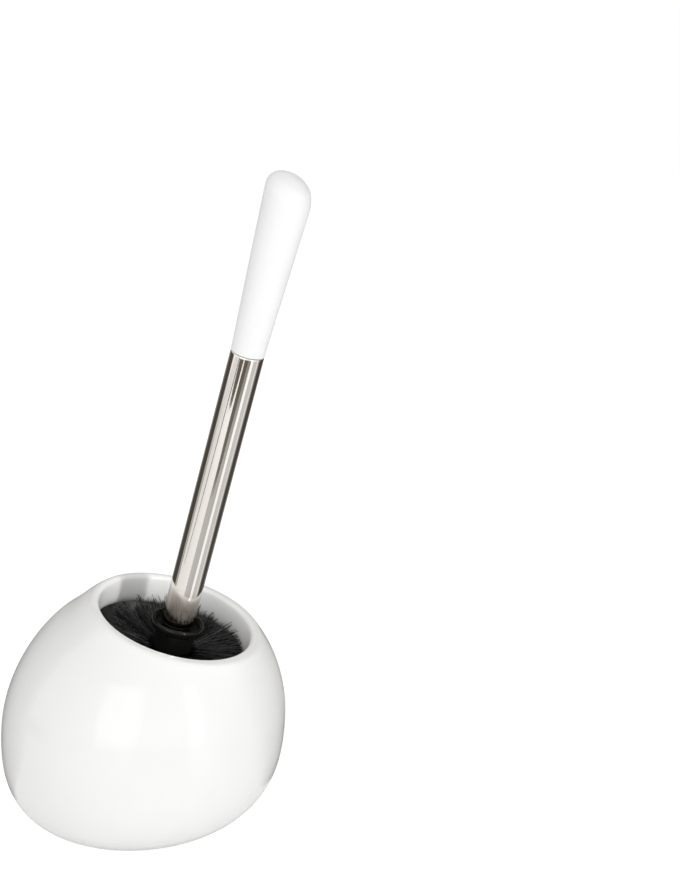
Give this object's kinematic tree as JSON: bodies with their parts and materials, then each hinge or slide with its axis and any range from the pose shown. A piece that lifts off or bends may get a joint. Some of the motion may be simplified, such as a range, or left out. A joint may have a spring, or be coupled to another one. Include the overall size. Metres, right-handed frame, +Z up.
{
  "type": "toilet brush holder",
  "caption": "Ball-shaped glazed ceramic pot with a slanted mouth, and a toilet brush with a chrome tube and a white grip that stands leaning in it.",
  "frame": {"origin": "centre of the pot's flat foot, on the floor", "axes": "+Z up, +X towards the low side of the slanted mouth, to which the brush leans; XZ is the plane of symmetry"},
  "size_m": [0.179, 0.1552, 0.36],
  "materials": {
    "glaze": "gloss",
    "chrome": "polished",
    "grip": "satin",
    "collar": "gloss",
    "core": "satin",
    "bush": "matte",
    "steel": "satin",
    "bristle": "matte"
  },
  "bodies": {
    "pot": {"pot": "glaze"},
    "head": {"brush_core": "core", "end_tufts": "bristle", "collar": "collar", "tuft_ring_1": "bristle", "tuft_ring_2": "bristle", "tuft_ring_3": "bristle", "tuft_ring_4": "bristle", "tuft_ring_5": "bristle", "tuft_ring_6": "bristle", "tuft_ring_7": "bristle", "tuft_ring_8": "bristle"},
    "stud": {"threaded_stud": "steel"},
    "handle": {"tube": "chrome", "threaded_bush": "bush", "grip": "grip"}
  },
  "joints": [
    {"name": "lift", "type": "slide", "parent": "pot", "child": "head", "axis": [0.2807, 0, 0.9598], "range_m": [0, 0.15]},
    {"name": "unscrew_travel", "type": "slide", "parent": "head", "child": "stud", "axis": [0.2807, 0, 0.9598], "range_m": [0, 0.009]},
    {"name": "unscrew_turn", "type": "hinge", "parent": "stud", "child": "handle", "pos_m": [0.02699, 0, 0.11853], "axis": [0.2807, 0, 0.9598], "range_deg": [0, 1080]}
  ],
  "couplings": [
    {"joint": "unscrew_travel", "follows": "unscrew_turn", "m_per_rad": 0.00047746}
  ]
}
